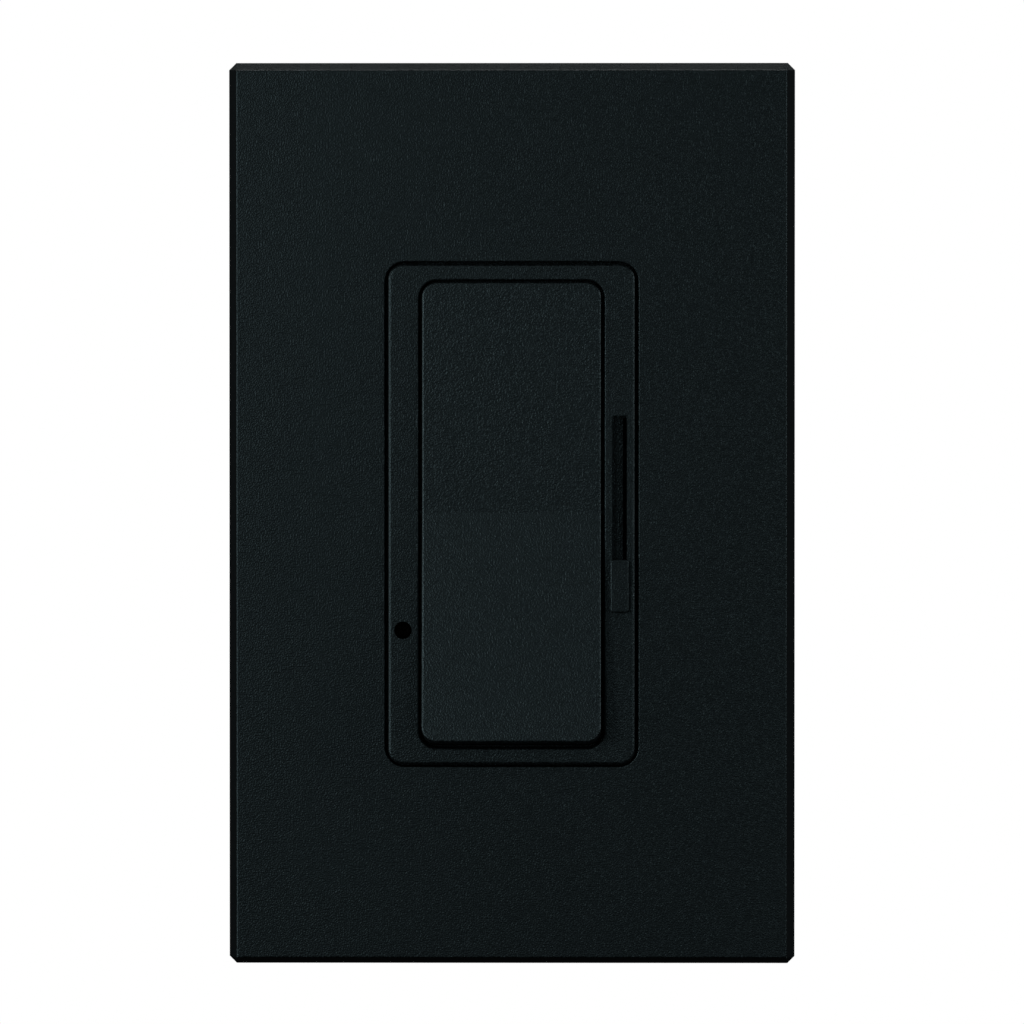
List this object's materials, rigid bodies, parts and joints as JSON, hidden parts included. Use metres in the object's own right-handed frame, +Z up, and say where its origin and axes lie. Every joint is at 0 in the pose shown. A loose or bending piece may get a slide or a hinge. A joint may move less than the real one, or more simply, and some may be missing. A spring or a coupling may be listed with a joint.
{
  "type": "dimmer slide switch",
  "caption": "Wall light dimmer with a tall rocker paddle, a small side slider in a slot, a pilot window and a plain screwless wall plate over a rear housing.",
  "frame": {"origin": "midway between the two box screws, on the plane of the wall that the plate's rim lies on", "axes": "+Z up along the plate's height, +X to the right seen from the front, +Y into the wall"},
  "size_m": [0.0748, 0.042, 0.119],
  "materials": {
    "faceplate_plastic": "fine matte moulded texture, charcoal black",
    "bezel_plastic": "fine matte moulded texture, charcoal black",
    "paddle_plastic": "fine matte moulded texture, charcoal black",
    "knob_plastic": "fine matte moulded texture, charcoal black",
    "adapter_plastic": "plain matte moulded, black",
    "housing_plastic": "glass-filled nylon, black",
    "phenolic": "moulded phenolic, dark brown",
    "nylon": "natural nylon",
    "yoke_aluminium": "stamped sheet, brushed",
    "zinc_steel": "zinc plated",
    "spring_steel": "drawn wire",
    "green_screw": "green dyed zinc",
    "mica": "translucent sheet",
    "brass": "stamped strip",
    "brass_screw": "turned",
    "silver_contact": "silver alloy, polished",
    "phosphor_bronze": "stamped strip",
    "resistive_track": "carbon film on laminate",
    "board_laminate": "solder mask on fibreglass laminate",
    "tinned_copper": "tinned",
    "epoxy_black": "moulded epoxy",
    "rivet_aluminium": "set rivet",
    "ferrite": "painted iron powder",
    "enamelled_copper": "enamelled copper wire",
    "capacitor_red": "dipped epoxy",
    "capacitor_green": "dipped epoxy",
    "resistor_body": "lacquered, colour bands",
    "diac_body": "small glass diode",
    "led_lens": "diffused lens",
    "smoked_lens": "smoked translucent rod"
  },
  "bodies": {
    "body": {"wallplate_cover": "faceplate_plastic", "bezel": "bezel_plastic", "wallplate_adapter": "adapter_plastic", "rear_housing": "housing_plastic", "switch_base": "phenolic", "pot_housing": "phenolic", "heatsink_yoke": "yoke_aluminium", "adapter_screws": "zinc_steel", "box_screws": "zinc_steel", "housing_screws": "zinc_steel", "ground_screw": "green_screw", "screw_retainers": "nylon", "triac_insulator": "mica", "common_terminal": "brass", "fixed_contact_upper": "brass", "fixed_contact_lower": "brass", "terminal_plates": "brass", "terminal_clamps": "brass", "terminal_screws": "brass_screw", "fixed_contact_buttons": "silver_contact", "pot_element": "resistive_track", "circuit_board": "board_laminate", "triac_tab": "tinned_copper", "triac_body": "epoxy_black", "triac_rivet": "rivet_aluminium", "choke_core": "ferrite", "choke_winding": "enamelled_copper", "film_capacitor": "capacitor_red", "timing_capacitor": "capacitor_green", "resistors": "resistor_body", "diac": "diac_body", "pilot_led": "led_lens", "pilot_light_pipe": "smoked_lens"},
    "paddle": {"paddle": "paddle_plastic", "plunger_spring": "spring_steel"},
    "plunger": {"paddle_plunger": "nylon"},
    "contact_rocker": {"contact_rocker": "brass", "rocker_contact_buttons": "silver_contact"},
    "slider": {"slider_knob": "knob_plastic", "slider_lever": "nylon", "pot_carriage": "nylon", "pot_wiper": "phosphor_bronze"}
  },
  "joints": [
    {"name": "paddle_rock", "type": "hinge", "parent": "body", "child": "paddle", "pos_m": [0, -0.004, 0], "axis": [1, 0, 0], "range_deg": [0, 7]},
    {"name": "plunger_slide", "type": "slide", "parent": "paddle", "child": "plunger", "axis": [0, -0.9981, 0.061], "range_m": [0, 0.0006], "stiffness_N_per_m": 300, "deforming": ["plunger_spring"]},
    {"name": "contact_rock", "type": "hinge", "parent": "body", "child": "contact_rocker", "pos_m": [0, 0.0095, 0], "axis": [1, 0, 0], "range_deg": [-10, 0]},
    {"name": "dim_slide", "type": "slide", "parent": "body", "child": "slider", "axis": [0, 0, 1], "range_m": [0, 0.0188]}
  ],
  "couplings": [
    {"joint": "contact_rock", "follows": "paddle_rock", "ratio": -1.4286}
  ]
}
